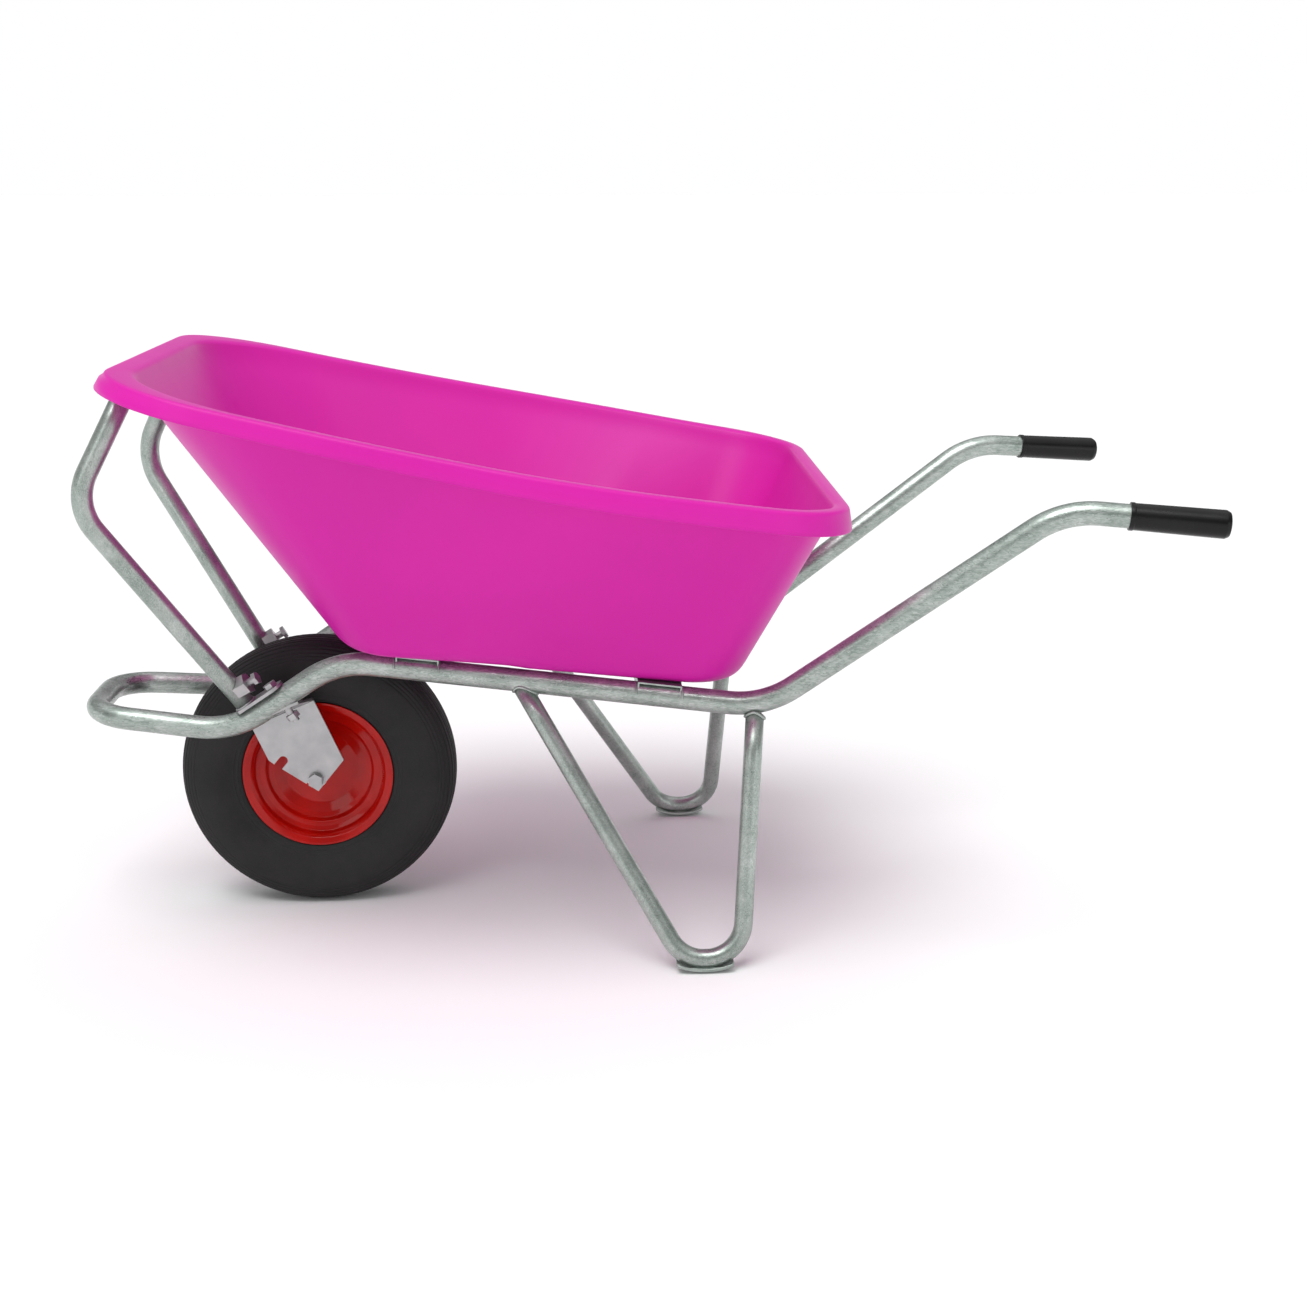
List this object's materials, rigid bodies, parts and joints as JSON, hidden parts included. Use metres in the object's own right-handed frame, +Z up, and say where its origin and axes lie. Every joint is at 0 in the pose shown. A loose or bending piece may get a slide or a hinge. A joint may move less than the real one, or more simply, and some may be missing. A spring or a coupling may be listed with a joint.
{
  "type": "wheelbarrow",
  "caption": "Tubular steel wheelbarrow with a deep plastic tray, a pneumatic front wheel in a looped frame, vee legs with foot shoes, front stays and grips.",
  "frame": {"origin": "on the ground, at the centre of the bounding box's footprint", "axes": "+Z up, +X from the wheel towards the handles, +Y towards the right hand of the person who pushes"},
  "size_m": [1.5572, 0.8542, 0.8135],
  "materials": {
    "galvanised": "hot-dip galvanised, mottled, satin",
    "zinc_plate": "bright zinc plated",
    "tray_plastic": "moulded polyethylene, satin to gloss",
    "grip_pvc": "satin black",
    "tyre_rubber": "matte ribbed rubber",
    "tube_rubber": "matte",
    "red_paint": "gloss red",
    "nylon": "satin",
    "valve_brass": "satin",
    "cap_plastic": "satin"
  },
  "bodies": {
    "frame": {"axle_bolt": "zinc_plate", "axle_nut": "zinc_plate", "axle_plate_left": "zinc_plate", "axle_plate_right": "zinc_plate", "axle_sleeve": "zinc_plate", "axle_washer_left": "zinc_plate", "axle_washer_right": "zinc_plate", "clamp_nut_left": "zinc_plate", "clamp_nut_right": "zinc_plate", "clamp_screw_left": "zinc_plate", "clamp_screw_right": "zinc_plate", "cross_member_front": "galvanised", "cross_member_rear": "galvanised", "foot_shoe_left": "galvanised", "foot_shoe_right": "galvanised", "frame_tube": "galvanised", "grip_left": "grip_pvc", "grip_right": "grip_pvc", "leg_left": "galvanised", "leg_right": "galvanised", "plate_bolt_left": "zinc_plate", "plate_bolt_right": "zinc_plate", "plate_nut_left": "zinc_plate", "plate_nut_right": "zinc_plate", "stay_crossbar": "galvanised", "stay_foot_left": "zinc_plate", "stay_foot_right": "zinc_plate", "stay_left": "galvanised", "stay_right": "galvanised", "tray": "tray_plastic", "tray_bolt_front_left": "zinc_plate", "tray_bolt_front_right": "zinc_plate", "tray_bolt_rear_left": "zinc_plate", "tray_bolt_rear_right": "zinc_plate", "tray_nut_front_left": "zinc_plate", "tray_nut_front_right": "zinc_plate", "tray_nut_rear_left": "zinc_plate", "tray_nut_rear_right": "zinc_plate"},
    "wheel": {"tyre": "tyre_rubber", "inner_tube": "tube_rubber", "wheel_rim": "red_paint", "hub": "red_paint", "bush_left": "nylon", "bush_right": "nylon", "valve_stem": "valve_brass", "valve_cap": "cap_plastic"}
  },
  "joints": [
    {"name": "wheel_spin", "type": "hinge", "parent": "frame", "child": "wheel", "pos_m": [-0.4557, 0, 0.2], "axis": [0, 1, 0], "continuous": true}
  ]
}
